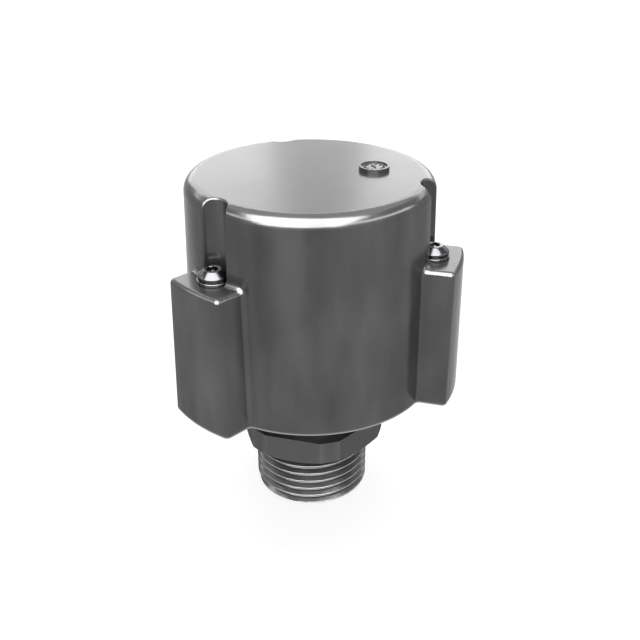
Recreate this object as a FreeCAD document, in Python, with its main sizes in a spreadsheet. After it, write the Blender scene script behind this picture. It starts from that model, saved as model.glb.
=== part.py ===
import FreeCAD, Part
import math
import os

import Sketcher

# Tank breather valve. Millimetres, +Z up, the axis of the breather is Z and the open end of the
# threaded nipple is at z = 0. One boss of the cover points along +Y.

# Driving dimensions

SIZES = {
    # Die-cast cover
    "top_height": 78.5,
    "rim_height": 30.5,
    "cover_draft": 1.35,
    "cover_top_round": 2.8,
    "cover_wall": 2.4,
    "ceiling_wall": 2.8,
    "ceiling_round": 1.4,
    # Bosses that carry the cover screws
    "boss_count": 3,
    "boss_top_height": 62.1,
    "boss_front_top": 6.3,
    "boss_front_rim": 6.8,
    "boss_half_width_top": 7.7,
    "boss_half_width_rim": 8.8,
    "boss_roof": 4.5,
    "boss_wall": 2.2,
    "boss_edge_round": 1.1,
    "boss_root_round": 1.2,
    "boss_overlap": 4.8,
    "pocket_overlap": 7.2,
    # Scallops that give the driver room above each screw
    "screw_overhang": 0.55,
    "scallop_radius": 3.5,
    "scallop_wall": 2.0,
    "scallop_edge_round": 0.5,
    "spot_face_radius": 3.65,
    # Date dial pad cast on the top
    "dial_pad_radius": 3.3,
    "dial_pad_height": 0.9,
    "dial_rim_width": 0.45,
    "dial_recess": 0.3,
    "dial_pad_distance": 13.8,
    "dial_pad_angle": -7.0,
    # Cover screws and their washers
    "screw_radius": 2.0,
    "screw_length": 16.0,
    "screw_head_radius": 3.05,
    "screw_head_band": 0.9,
    "screw_head_cone": 1.2,
    "screw_head_top_radius": 1.85,
    "screw_socket_radius": 1.45,
    "screw_socket_depth": 1.6,
    "screw_pin_radius": 0.45,
    "screw_pin_drop": 0.4,
    "washer_radius": 3.2,
    "washer_thickness": 0.7,
    # Threaded adapter
    "thread_radius": 13.49,
    "thread_length": 13.7,
    "thread_chamfer": 1.1,
    "hexagon_across_flats": 31.75,
    "hexagon_across_facets": 34.1,
    "hexagon_height": 6.5,
    "hexagon_washer_radius": 15.3,
    "hexagon_chamfer_angle": 30.0,
    "collar_overhang": 2.4,
    "collar_margin": 2.3,
    "collar_thickness": 4.0,
    "spigot_radius": 11.0,
    "inlet_radius": 7.5,
    "ledge_width": 0.4,
    "baffle_height": 24.0,
    "adapter_seal_section": 0.9,
    "adapter_seal_inset": 2.1,
    "adapter_groove_half_width": 1.17,
    # Base casting
    "base_recess": 2.0,
    "base_thickness": 3.5,
    "base_margin": 1.5,
    "pillar_bore_depth": 16.0,
    "element_ring_width": 0.8,
    "element_ring_height": 1.2,
    # Lock nut and valve cage
    "nut_height": 4.0,
    "nut_gap": 0.39,
    "cage_thread_height": 4.0,
    "cage_wall": 2.5,
    "cage_window_web": 2.33,
    "cage_window_half_width": 6.5,
    "cage_window_count": 4,
    "cage_cap_height": 4.0,
    "cage_headroom": 5.97,
    "cage_sill": 1.2,
    # Valve seat and pressure poppet
    "seat_bore_radius": 7.0,
    "seat_plug_radius": 9.0,
    "seat_plug_depth": 3.5,
    "seat_flange_inset": 0.2,
    "seat_flange_thickness": 1.2,
    "seat_lip_height": 0.8,
    "seat_lip_width": 0.9,
    "pressure_seal_inner": 7.6,
    "pressure_seal_outer": 10.2,
    "pressure_seal_thickness": 1.4,
    "pressure_seal_proud": 0.8,
    "poppet_radius": 12.4,
    "poppet_thickness": 3.2,
    "poppet_hub_radius": 3.4,
    "poppet_hub_height": 2.0,
    "poppet_ring_width": 1.2,
    "poppet_ring_height": 1.2,
    "port_count": 6,
    "port_radius": 1.1,
    "port_circle_radius": 4.6,
    # Vacuum valve
    "stem_radius": 1.45,
    "vacuum_disc_thickness": 1.2,
    "vacuum_seal_thickness": 1.1,
    "clip_groove_radius": 1.0,
    "clip_radius": 2.7,
    "clip_thickness": 0.7,
    "clip_gap_half_width": 0.9,
    "stem_tip": 1.0,
    "keeper_radius": 3.5,
    "keeper_thickness": 0.8,
    # Springs and their adjuster
    "pressure_spring_radius": 8.3,
    "pressure_spring_wire": 1.2,
    "pressure_spring_pitch": 2.95,
    "vacuum_spring_radius": 2.4,
    "vacuum_spring_wire": 0.6,
    "vacuum_spring_height": 6.0,
    "vacuum_spring_pitch": 1.35,
    "spring_wire_sides": 8,
    "adjuster_radius": 9.5,
    "adjuster_bore_radius": 4.0,
    "adjuster_thickness": 3.5,
    "adjuster_slot_half_width": 0.8,
    "adjuster_slot_depth": 1.2,
    # Filter element
    "element_gasket_thickness": 1.5,
    "gasket_inner_inset": 0.8,
    "gasket_outer_inset": 0.5,
    "hold_down_length": 1.2,
    "element_width": 4.5,
    "cap_gauge": 0.5,
    "cap_rim_height": 2.4,
    "core_gauge": 0.4,
    "core_slot_columns": 10,
    "core_slot_rows": 4,
    "core_slot_half_width": 1.6,
    "core_slot_height": 4.6,
    "core_slot_margin": 3.55,
    "pleat_count": 40,
    "pleat_gauge": 1.2,
    # Splash baffle
    "baffle_ring_width": 0.9,
    "baffle_ring_height": 1.2,
    "baffle_disc_radius": 5.4,
    "baffle_disc_thickness": 0.8,
    "baffle_leg_height": 5.0,
    "baffle_leg_half_width": 1.0,
    "baffle_leg_gauge": 0.45,
    "baffle_leg_count": 3,
    # Clearances, and how far a cut runs on past the metal it opens
    "thread_clearance": 0.05,
    "guide_clearance": 0.05,
    "hole_clearance": 0.2,
    "seal_clearance": 0.03,
    "media_clearance": 0.1,
    "poppet_clearance": 0.3,
    "disc_clearance": 0.7,
    "cage_clearance": 1.2,
    "pillar_clearance": 0.4,
    "element_clearance": 2.2,
    "cut_overrun": 1.0,
}

DOC = FreeCAD.newDocument("tank_breather_valve")
SHEET = DOC.addObject("Spreadsheet::Sheet", "sizes")
for row, (alias, number) in enumerate(SIZES.items(), start=1):
    SHEET.set("A%d" % row, alias)
    SHEET.set("B%d" % row, str(number))
    SHEET.setAlias("B%d" % row, alias)
DOC.recompute()


class Size:
    """A number that keeps the sheet expression it was worked out from."""

    def __init__(self, value, text):
        self.value = float(value)
        self.text = text

    def __add__(self, other):
        other = as_size(other)
        return Size(self.value + other.value, "(%s + %s)" % (self.text, other.text))

    def __sub__(self, other):
        other = as_size(other)
        return Size(self.value - other.value, "(%s - %s)" % (self.text, other.text))

    def __mul__(self, other):
        other = as_size(other)
        return Size(self.value * other.value, "(%s * %s)" % (self.text, other.text))

    def __truediv__(self, other):
        other = as_size(other)
        return Size(self.value / other.value, "(%s / %s)" % (self.text, other.text))

    def __neg__(self):
        return Size(-self.value, "(0 - %s)" % self.text)

    __radd__ = __add__
    __rmul__ = __mul__


def as_size(number):
    """Return a size, also for a plain number."""
    if isinstance(number, Size):
        return number
    return Size(number, repr(float(number)))


def size(alias):
    """Return the size that the sheet holds under an alias."""
    return Size(SIZES[alias], "sizes.%s" % alias)


def root(number):
    """Return the square root of a size."""
    return Size(math.sqrt(number.value), "sqrt(%s)" % number.text)


def cosine(degrees):
    """Return the cosine of an angle in degrees."""
    return Size(math.cos(math.radians(degrees.value)), "cos(%s)" % degrees.text)


def sine(degrees):
    """Return the sine of an angle in degrees."""
    return Size(math.sin(math.radians(degrees.value)), "sin(%s)" % degrees.text)


def tangent(degrees):
    """Return the tangent of an angle in degrees."""
    return Size(math.tan(math.radians(degrees.value)), "tan(%s)" % degrees.text)


ZERO = as_size(0)
FULL_TURN = as_size(360)


def bind(item, name, number):
    """Tie a property of a document object to the sheet."""
    item.setExpression(name, as_size(number).text)


# Sketches and features

class Arc:
    """Marks the edge that leaves a corner of an outline as an arc of a given radius."""

    def __init__(self, radius, turns_left=True):
        self.radius = radius
        self.turns_left = turns_left


def plane(body, role):
    """Return one of the origin planes of a body."""
    for feature in body.Origin.OriginFeatures:
        if feature.Role == role:
            return feature
    raise ValueError(role)


def new_sketch(body, name, role, offset):
    """Add an empty sketch on an origin plane of a body, moved along the plane's normal."""
    sketch = body.newObject("Sketcher::SketchObject", name)
    sketch.AttachmentSupport = (plane(body, role), [""])
    sketch.MapMode = "FlatFace"
    bind(sketch, "AttachmentOffset.Base.z", offset)
    return sketch


def pin_point(sketch, edge, end, corner):
    """Fix one point of an edge at a corner whose coordinates come from the sheet."""
    for kind, number in zip(("DistanceX", "DistanceY"), corner):
        number = as_size(number)
        constraint = Sketcher.Constraint(kind, -1, 1, edge, end, number.value)
        index = sketch.addConstraint(constraint)
        sketch.setExpression("Constraints[%d]" % index, number.text)


def arc_between(first, last, arc):
    """Return the arc of a given radius from one corner to the next."""
    start = FreeCAD.Vector(first[0].value, first[1].value, 0)
    end = FreeCAD.Vector(last[0].value, last[1].value, 0)
    chord = end - start
    side = 1 if arc.turns_left else -1
    rise = math.sqrt(max(arc.radius.value ** 2 - (chord.Length / 2) ** 2, 0))
    normal = FreeCAD.Vector(-chord.y, chord.x, 0).normalize() * side
    centre = (start + end) * 0.5 + normal * rise
    begin, finish = (start, end) if arc.turns_left else (end, start)
    angles = [math.atan2(point.y - centre.y, point.x - centre.x) for point in (begin, finish)]
    circle = Part.Circle(centre, FreeCAD.Vector(0, 0, 1), arc.radius.value)
    return Part.ArcOfCircle(circle, angles[0], angles[1])


def outline(body, name, role, steps, offset=ZERO):
    """Draw a closed outline. A step is a corner, or an Arc that joins the corners beside it."""
    sketch = new_sketch(body, name, role, offset)
    corners = [tuple(map(as_size, step)) for step in steps if not isinstance(step, Arc)]
    arcs = {}
    seen = 0
    for step in steps:
        if isinstance(step, Arc):
            arcs[seen - 1] = step
        else:
            seen += 1
    ends = []
    for index, corner in enumerate(corners):
        following = corners[(index + 1) % len(corners)]
        if index in arcs:
            edge = sketch.addGeometry(arc_between(corner, following, arcs[index]))
            ends.append((1, 2) if arcs[index].turns_left else (2, 1))
            radius = Sketcher.Constraint("Radius", edge, arcs[index].radius.value)
            sketch.setExpression("Constraints[%d]" % sketch.addConstraint(radius), arcs[index].radius.text)
        else:
            points = [FreeCAD.Vector(point[0].value, point[1].value, 0) for point in (corner, following)]
            edge = sketch.addGeometry(Part.LineSegment(*points))
            ends.append((1, 2))
    for index, corner in enumerate(corners):
        following = (index + 1) % len(corners)
        joint = Sketcher.Constraint("Coincident", index, ends[index][1], following, ends[following][0])
        sketch.addConstraint(joint)
        pin_point(sketch, index, ends[index][0], corner)
    return sketch


def circle_sketch(body, name, role, centre, radius, offset=ZERO):
    """Draw a circle whose centre and radius come from the sheet."""
    sketch = new_sketch(body, name, role, offset)
    centre = tuple(map(as_size, centre))
    middle = FreeCAD.Vector(centre[0].value, centre[1].value, 0)
    sketch.addGeometry(Part.Circle(middle, FreeCAD.Vector(0, 0, 1), radius.value))
    index = sketch.addConstraint(Sketcher.Constraint("Radius", 0, radius.value))
    sketch.setExpression("Constraints[%d]" % index, radius.text)
    pin_point(sketch, 0, 3, centre)
    return sketch


PIECES = []


def new_piece(label, seat=ZERO):
    """Start a sub-part that sits at a height of the assembly."""
    body = DOC.addObject("PartDesign::Body", label)
    body.Label = label
    bind(body, "Placement.Base.z", seat)
    PIECES.append(body)
    return body


def add_feature(body, kind, name, grows):
    """Add a feature to a body, and keep the volume from before it and whether it should grow."""
    DOC.recompute()
    before = body.Shape.Volume if not body.Shape.isNull() else 0
    feature = body.newObject(kind, name)
    return feature, before, grows


def settle(body, added):
    """Recompute and stop if a feature changed the volume the wrong way or not at all."""
    feature, before, grows = added
    DOC.recompute()
    after = body.Shape.Volume
    if feature.State and "Invalid" in feature.State or (after - before) * (1 if grows else -1) <= 0:
        raise RuntimeError("%s changed the volume from %.3f to %.3f" % (feature.Name, before, after))
    return feature


def turn(body, name, steps, cuts=False):
    """Turn a profile, drawn as radius and height, about Z."""
    sketch = outline(body, name + "_profile", "XZ_Plane", steps)
    kind = "PartDesign::Groove" if cuts else "PartDesign::Revolution"
    added = add_feature(body, kind, name, not cuts)
    feature = added[0]
    feature.Profile = sketch
    feature.ReferenceAxis = (sketch, ["V_Axis"])
    feature.Angle = 360
    return settle(body, added)


def extrude(body, name, sketch, length, cuts=False, downwards=False):
    """Pad a sketch, or cut it away, upwards unless told otherwise."""
    kind = "PartDesign::Pocket" if cuts else "PartDesign::Pad"
    added = add_feature(body, kind, name, not cuts)
    feature = added[0]
    feature.Profile = sketch
    feature.Reversed = downwards != cuts
    bind(feature, "Length", length)
    return settle(body, added)


def loft(body, name, sketches, cuts=False):
    """Join two sketches by a loft, or cut the loft away."""
    kind = "PartDesign::SubtractiveLoft" if cuts else "PartDesign::AdditiveLoft"
    added = add_feature(body, kind, name, not cuts)
    feature = added[0]
    feature.Profile = sketches[0]
    feature.Sections = sketches[1:]
    feature.Ruled = True
    return settle(body, added)


def polar(body, name, originals, count, grows):
    """Repeat features about Z."""
    added = add_feature(body, "PartDesign::PolarPattern", name, grows)
    pattern = added[0]
    pattern.Originals = originals
    axes = [feature for feature in body.Origin.OriginFeatures if feature.Role == "Z_Axis"]
    pattern.Axis = (axes[0], [""])
    pattern.Angle = 360
    bind(pattern, "Occurrences", count)
    body.Tip = pattern
    return settle(body, added)


def round_edges(body, name, radius, chosen, grows=False):
    """Round the edges that a test picks out."""
    DOC.recompute()
    base = body.Tip
    names = ["Edge%d" % number for number, edge in enumerate(base.Shape.Edges, start=1) if chosen(edge)]
    added = add_feature(body, "PartDesign::Fillet", name, grows)
    feature = added[0]
    feature.Base = (base, names)
    bind(feature, "Radius", radius)
    return settle(body, added)


def ring_steps(inner, outer, low, high):
    """Return the profile of a plain ring."""
    return [(inner, low), (outer, low), (outer, high), (inner, high)]


# Heights and radii that several pieces share

TOP = size("top_height")
RIM = size("rim_height")
BOSS_TOP = size("boss_top_height")
ROOF_LOW = BOSS_TOP - size("boss_roof")
SPOT_TOP = BOSS_TOP + size("boss_root_round")
CEILING = TOP - size("ceiling_wall")
MID_CEILING = TOP - size("ceiling_wall") / 2

HEX_LOW = size("thread_length")
BASE_LOW = RIM + size("base_recess")
BASE_TOP = BASE_LOW + size("base_thickness")
NUT_TOP = BASE_TOP + size("nut_height")
SPIGOT_TOP = NUT_TOP + size("cage_thread_height")
SEAT_TOP = SPIGOT_TOP + size("seat_flange_thickness")
LIP_TOP = SEAT_TOP + size("seat_lip_height")

SEAL_LOW = LIP_TOP + size("seal_clearance")
POPPET_LOW = SEAL_LOW + size("pressure_seal_proud")
POPPET_TOP = POPPET_LOW + size("poppet_thickness")
HUB_TOP = POPPET_TOP + size("poppet_hub_height")
KEEPER_LOW = HUB_TOP + size("vacuum_spring_height")
CLIP_LOW = KEEPER_LOW + size("keeper_thickness")
STEM_TOP = CLIP_LOW + size("clip_thickness") + size("stem_tip")

ELEMENT_LOW = BASE_TOP + size("element_gasket_thickness")
GASKET_TOP = CEILING - size("hold_down_length")
ELEMENT_TOP = GASKET_TOP - size("element_gasket_thickness")
CAGE_TOP = ELEMENT_TOP - size("cap_gauge") - size("cage_headroom")
ADJUSTER_LOW = CAGE_TOP - size("adjuster_thickness")

GUIDE_RADIUS = size("poppet_radius") + size("poppet_clearance")
CAGE_RADIUS = GUIDE_RADIUS + size("cage_wall")
ELEMENT_INNER = CAGE_RADIUS + size("cage_clearance")
ELEMENT_OUTER = ELEMENT_INNER + size("element_width")
ELEMENT_RING = ELEMENT_INNER - size("hole_clearance")
PILLAR_FOOT = size("boss_front_rim") - size("boss_wall") - size("pillar_clearance")
PILLAR_HEAD = size("boss_front_top") - size("boss_wall") - size("pillar_clearance")
SCREW_CIRCLE = ELEMENT_OUTER + size("element_clearance") + PILLAR_FOOT
COVER_TOP_RADIUS = SCREW_CIRCLE - size("screw_overhang")
COVER_RIM_RADIUS = COVER_TOP_RADIUS + size("cover_draft")
ADAPTER_SEAL_RADIUS = size("spigot_radius") + size("adapter_seal_inset")
COLLAR_RADIUS = ADAPTER_SEAL_RADIUS + size("collar_margin")
PASSAGE_RADIUS = size("inlet_radius") + size("ledge_width")
VACUUM_DISC_RADIUS = size("seat_bore_radius") - size("disc_clearance")


def straight_between(low, low_value, high, high_value, height):
    """Return the value at a height of something that changes evenly between two heights."""
    return low_value + (high_value - low_value) * ((height - low) / (high - low))


def wall_radius(height):
    """Return the outer radius of the drafted cover wall at a height."""
    return straight_between(RIM, COVER_RIM_RADIUS, TOP, COVER_TOP_RADIUS, height)


def boss_half_width(height):
    """Return half the width of a boss at a height."""
    return straight_between(RIM, size("boss_half_width_rim"), BOSS_TOP, size("boss_half_width_top"), height)


def boss_reach(height):
    """Return the radius of the outer face of a boss at a height."""
    front = straight_between(RIM, size("boss_front_rim"), BOSS_TOP, size("boss_front_top"), height)
    return SCREW_CIRCLE + front


# Cover

def corner_round(radius, edge_radius, height):
    """Return the two ends of an arc that rounds the corner between a drafted wall and a level face."""
    slope = size("cover_draft") / (TOP - RIM)
    lean = root(1 + slope * slope)
    reach = radius / (lean + slope)
    on_face = (edge_radius - reach, height)
    on_wall = (edge_radius + reach * slope / lean, height - reach / lean)
    return on_face, on_wall


def boss_outline(body, name, height, inset, inner):
    """Draw the section of a boss at a height, drawn in by an inset, from a line inside the cover."""
    half_width = boss_half_width(height) - inset
    reach = boss_reach(height) - inset
    corner = root(reach * reach - half_width * half_width)
    steps = [(half_width, inner), (half_width, corner), Arc(reach), (-half_width, corner), (-half_width, inner)]
    return outline(body, name, "XY_Plane", steps, height)


def middle_of(edge):
    """Return the point halfway along an edge."""
    return edge.valueAt((edge.FirstParameter + edge.LastParameter) / 2)


def near(first, second, tolerance=0.05):
    """Return whether two numbers agree."""
    return abs(first - second) < tolerance


def spans(edge, low, high):
    """Return whether an edge runs from one height to another."""
    return near(edge.BoundBox.ZMin, low.value) and near(edge.BoundBox.ZMax, high.value)


def radius_of(point):
    """Return the distance of a point from the axis."""
    return math.hypot(point.x, point.y)


def is_boss_root(edge):
    """Return whether an edge is where the side or the top of a boss meets the cover wall."""
    middle = middle_of(edge)
    on_wall = near(radius_of(middle), wall_radius(as_size(middle.z)).value, 0.1)
    return on_wall and edge.BoundBox.ZMax < BOSS_TOP.value + 0.1 and edge.BoundBox.ZMax > RIM.value + 1


def is_boss_edge(edge):
    """Return whether an edge is an upright corner of a boss or an outer edge of its top."""
    middle = middle_of(edge)
    clear = radius_of(middle) > wall_radius(as_size(middle.z)).value + 0.3
    return clear and (spans(edge, RIM, BOSS_TOP) or spans(edge, BOSS_TOP, BOSS_TOP))


def is_scallop_mouth(edge):
    """Return whether an edge is where a scallop breaks through the wall or the top of the cover."""
    if edge.BoundBox.ZMin < BOSS_TOP.value - 0.1 or edge.BoundBox.ZMax > TOP.value + 0.1:
        return False
    points = [edge.valueAt(edge.FirstParameter + (edge.LastParameter - edge.FirstParameter) * share)
              for share in (0.1, 0.5, 0.9)]
    count = int(size("boss_count").value)
    for number in range(count):
        angle = math.radians(90 + 360 / count * number)
        centre = (SCREW_CIRCLE.value * math.cos(angle), SCREW_CIRCLE.value * math.sin(angle))
        gaps = [math.hypot(point.x - centre[0], point.y - centre[1]) for point in points]
        if all(near(gap, size("scallop_radius").value, 0.02) for gap in gaps):
            return edge.BoundBox.ZMax > SPOT_TOP.value + 0.1
    return False


def make_cover():
    """Cast cover: a drafted bell with three bosses, each with a scallop above its screw."""
    body = new_piece("cover")
    top_edge, wall_edge = corner_round(size("cover_top_round"), COVER_TOP_RADIUS, TOP)
    inner_edge = wall_radius(CEILING) - size("cover_wall")
    ceiling_edge, inside_edge = corner_round(size("ceiling_round"), inner_edge, CEILING)
    turn(body, "bell", [(0, TOP), top_edge, Arc(size("cover_top_round"), False), wall_edge,
                        (COVER_RIM_RADIUS, RIM), (0, RIM)])
    core = COVER_TOP_RADIUS - size("boss_overlap")
    outlines = [boss_outline(body, "boss_foot", RIM, ZERO, core),
                boss_outline(body, "boss_head", BOSS_TOP, ZERO, core)]
    boss = loft(body, "boss", outlines)
    polar(body, "bosses", [boss], size("boss_count"), True)
    round_edges(body, "boss_corners", size("boss_edge_round"), is_boss_edge)
    round_edges(body, "boss_roots", size("boss_root_round"), is_boss_root, True)
    turn(body, "cavity", [(0, RIM), (COVER_RIM_RADIUS - size("cover_wall"), RIM), inside_edge,
                          Arc(size("ceiling_round")), ceiling_edge, (0, CEILING)], True)
    inside = COVER_TOP_RADIUS - size("pocket_overlap")
    pockets = [boss_outline(body, "pocket_foot", RIM, size("boss_wall"), inside),
               boss_outline(body, "pocket_head", ROOF_LOW, size("boss_wall"), inside)]
    pocket = loft(body, "boss_pocket", pockets, True)
    polar(body, "boss_pockets", [pocket], size("boss_count"), False)
    back = size("scallop_radius") + size("scallop_wall")
    mid_wall = COVER_TOP_RADIUS - size("cover_wall") / 2
    across = (SCREW_CIRCLE * SCREW_CIRCLE + mid_wall * mid_wall - back * back) / (SCREW_CIRCLE * 2)
    side = root(mid_wall * mid_wall - across * across)
    lens = outline(body, "scallop_back_outline", "XY_Plane",
                   [(side, across), Arc(back, False), (-side, across), Arc(mid_wall, False)], ROOF_LOW)
    scallop_back = extrude(body, "scallop_back", lens, MID_CEILING - ROOF_LOW)
    polar(body, "scallop_backs", [scallop_back], size("boss_count"), True)
    groove = circle_sketch(body, "scallop_circle", "XY_Plane", (0, SCREW_CIRCLE), size("scallop_radius"),
                           SPOT_TOP)
    scallop = extrude(body, "scallop", groove, TOP + size("cut_overrun") - SPOT_TOP, True)
    polar(body, "scallops", [scallop], size("boss_count"), False)
    round_edges(body, "scallop_edges", size("scallop_edge_round"), is_scallop_mouth)
    seat = circle_sketch(body, "spot_face_circle", "XY_Plane", (0, SCREW_CIRCLE), size("spot_face_radius"),
                         SPOT_TOP)
    spot_face = extrude(body, "spot_face", seat, SPOT_TOP - BOSS_TOP, True, True)
    hole = circle_sketch(body, "screw_hole_circle", "XY_Plane", (0, SCREW_CIRCLE),
                         size("screw_radius") + size("hole_clearance"), BOSS_TOP)
    screw_hole = extrude(body, "screw_hole", hole, size("boss_roof") + size("cut_overrun"), True, True)
    polar(body, "screw_seats", [spot_face, screw_hole], size("boss_count"), False)
    turn(body, "hold_down_ring", ring_steps(ELEMENT_INNER + size("gasket_inner_inset"),
                                            ELEMENT_OUTER - size("gasket_outer_inset"),
                                            GASKET_TOP, MID_CEILING))
    spot = (size("dial_pad_distance") * cosine(size("dial_pad_angle")),
            size("dial_pad_distance") * sine(size("dial_pad_angle")))
    pad = circle_sketch(body, "dial_pad_circle", "XY_Plane", spot, size("dial_pad_radius"), TOP)
    extrude(body, "dial_pad", pad, size("dial_pad_height"))
    face = circle_sketch(body, "dial_face_circle", "XY_Plane", spot,
                         size("dial_pad_radius") - size("dial_rim_width"), TOP + size("dial_pad_height"))
    extrude(body, "dial_face", face, size("dial_recess"), True, True)


def make_screws():
    """Cover screws with a coned head over a plain washer, one of each on every boss."""
    head_low = size("washer_thickness")
    band_top = head_low + size("screw_head_band")
    head_top = band_top + size("screw_head_cone")
    socket_low = head_top - size("screw_socket_depth")
    pin_top = head_top - size("screw_pin_drop")
    shank_low = head_low - size("screw_length")
    count = int(size("boss_count").value)
    for number in range(count):
        angle = as_size(90) + FULL_TURN / size("boss_count") * number
        for label in ("cover_washer_%d" % (number + 1), "cover_screw_%d" % (number + 1)):
            body = new_piece(label, BOSS_TOP)
            bind(body, "Placement.Base.x", SCREW_CIRCLE * cosine(angle))
            bind(body, "Placement.Base.y", SCREW_CIRCLE * sine(angle))
            if "washer" in label:
                turn(body, label + "_ring", ring_steps(size("screw_radius") + size("hole_clearance"),
                                                       size("washer_radius"), ZERO, head_low))
            else:
                turn(body, label + "_blank",
                     [(0, shank_low), (size("screw_radius"), shank_low), (size("screw_radius"), head_low),
                      (size("screw_head_radius"), head_low), (size("screw_head_radius"), band_top),
                      (size("screw_head_top_radius"), head_top), (size("screw_socket_radius"), head_top),
                      (size("screw_socket_radius"), socket_low), (size("screw_pin_radius"), socket_low),
                      (size("screw_pin_radius"), pin_top), (0, pin_top)])


# Base casting and adapter

def make_base():
    """Base casting: a plate with an arm and an upright pillar under each boss of the cover."""
    body = new_piece("base_casting")
    hole = size("spigot_radius") + size("hole_clearance")
    plate = ELEMENT_OUTER + size("base_margin")
    ring_inner = ELEMENT_RING - size("element_ring_width")
    ring_top = BASE_TOP + size("element_ring_height")
    turn(body, "plate", [(hole, BASE_LOW), (plate, BASE_LOW), (plate, BASE_TOP), (ELEMENT_RING, BASE_TOP),
                         (ELEMENT_RING, ring_top), (ring_inner, ring_top), (ring_inner, BASE_TOP),
                         (hole, BASE_TOP)])
    half = PILLAR_FOOT
    inner = plate - half
    arm = outline(body, "arm_outline", "XY_Plane",
                  [(half, inner), (half, SCREW_CIRCLE), (-half, SCREW_CIRCLE), (-half, inner)], BASE_LOW)
    arm = extrude(body, "arm", arm, size("base_thickness"))
    circles = [circle_sketch(body, "pillar_foot", "XY_Plane", (0, SCREW_CIRCLE), PILLAR_FOOT, BASE_LOW),
               circle_sketch(body, "pillar_head", "XY_Plane", (0, SCREW_CIRCLE), PILLAR_HEAD, ROOF_LOW)]
    pillar = loft(body, "pillar", circles)
    bore = circle_sketch(body, "pillar_bore_circle", "XY_Plane", (0, SCREW_CIRCLE),
                         size("screw_radius") + size("thread_clearance"), ROOF_LOW)
    bore = extrude(body, "pillar_bore", bore, size("pillar_bore_depth"), True, True)
    polar(body, "pillars", [arm, pillar, bore], size("boss_count"), True)


NUT_SIDES = 6


def polygon_steps(count, reach, first_angle):
    """Return the corners of a regular polygon from the radius of its corners."""
    angles = [math.radians(first_angle + 360 / count * number) for number in range(count)]
    return [(reach * math.cos(angle), reach * math.sin(angle)) for angle in angles]


def hexagon_steps(across_flats, across_facets, first_angle):
    """Return the corners of a hexagon whose own corners are cut off by narrow facets."""
    facet = across_facets / 2
    half_width = across_flats - facet * math.sqrt(3)
    steps = []
    for number in range(6):
        angle = math.radians(first_angle + 60 * number)
        for side in (-half_width, half_width):
            steps.append((facet * math.cos(angle) - side * math.sin(angle),
                          facet * math.sin(angle) + side * math.cos(angle)))
    return steps


def circle_hole_outline(body, name, steps, radius, height):
    """Draw an outline with a round hole about the origin inside it."""
    sketch = outline(body, name, "XY_Plane", steps, height)
    edge = sketch.addGeometry(Part.Circle(FreeCAD.Vector(0, 0, 0), FreeCAD.Vector(0, 0, 1), radius.value))
    index = sketch.addConstraint(Sketcher.Constraint("Radius", edge, radius.value))
    sketch.setExpression("Constraints[%d]" % index, radius.text)
    sketch.addConstraint(Sketcher.Constraint("Coincident", edge, 3, -1, 1))
    return sketch


def make_adapter():
    """Threaded adapter: nipple to the thread's crests, hexagon, neck, collar and spigot."""
    body = new_piece("threaded_adapter")
    groove_inner = ADAPTER_SEAL_RADIUS - size("adapter_groove_half_width")
    groove_outer = ADAPTER_SEAL_RADIUS + size("adapter_groove_half_width")
    groove_floor = BASE_LOW - size("adapter_seal_section") * 2
    seat_radius = size("seat_plug_radius") + size("thread_clearance")
    seat_floor = SPIGOT_TOP - size("seat_plug_depth")
    collar_low = BASE_LOW - size("collar_thickness")
    neck = COLLAR_RADIUS - size("collar_overhang")
    turn(body, "nipple", [(size("inlet_radius"), 0), (size("thread_radius") - size("thread_chamfer"), 0),
                          (size("thread_radius"), size("thread_chamfer")), (size("thread_radius"), HEX_LOW),
                          (neck, HEX_LOW), (neck, collar_low), (COLLAR_RADIUS, collar_low),
                          (COLLAR_RADIUS, BASE_LOW),
                          (groove_outer, BASE_LOW), (groove_outer, groove_floor),
                          (groove_inner, groove_floor), (groove_inner, BASE_LOW),
                          (size("spigot_radius"), BASE_LOW), (size("spigot_radius"), SPIGOT_TOP),
                          (seat_radius, SPIGOT_TOP), (seat_radius, seat_floor),
                          (PASSAGE_RADIUS, seat_floor), (PASSAGE_RADIUS, size("baffle_height")),
                          (size("inlet_radius"), size("baffle_height"))])
    steps = hexagon_steps(size("hexagon_across_flats"), size("hexagon_across_facets"), 90)
    ring = circle_hole_outline(body, "hexagon_outline", steps, neck - size("cut_overrun"), HEX_LOW)
    extrude(body, "hexagon", ring, size("hexagon_height"))
    washer = size("hexagon_washer_radius")
    reach = size("hexagon_across_facets") / 2 + size("cut_overrun")
    rise = (reach - washer) * tangent(size("hexagon_chamfer_angle"))
    turn(body, "hexagon_chamfer", [(washer, HEX_LOW), (reach, HEX_LOW), (reach, HEX_LOW + rise)], True)


def make_seals_and_nut():
    """O-ring under the base, and the lock nut that pulls the base down on the adapter's collar."""
    section = size("adapter_seal_section")
    ring = new_piece("adapter_o_ring", BASE_LOW - section)
    sketch = circle_sketch(ring, "section", "XZ_Plane", (ADAPTER_SEAL_RADIUS, 0), section)
    feature = ring.newObject("PartDesign::Revolution", "ring")
    feature.Profile = sketch
    feature.ReferenceAxis = (sketch, ["V_Axis"])
    feature.Angle = 360
    nut = new_piece("lock_nut", BASE_TOP)
    bore = size("spigot_radius") + size("thread_clearance")
    corner = ELEMENT_RING - size("element_ring_width") - size("nut_gap")
    steps = polygon_steps(NUT_SIDES, corner, 90)
    extrude(nut, "nut", circle_hole_outline(nut, "nut_outline", steps, bore, ZERO), size("nut_height"))


# Valve mechanism

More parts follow.
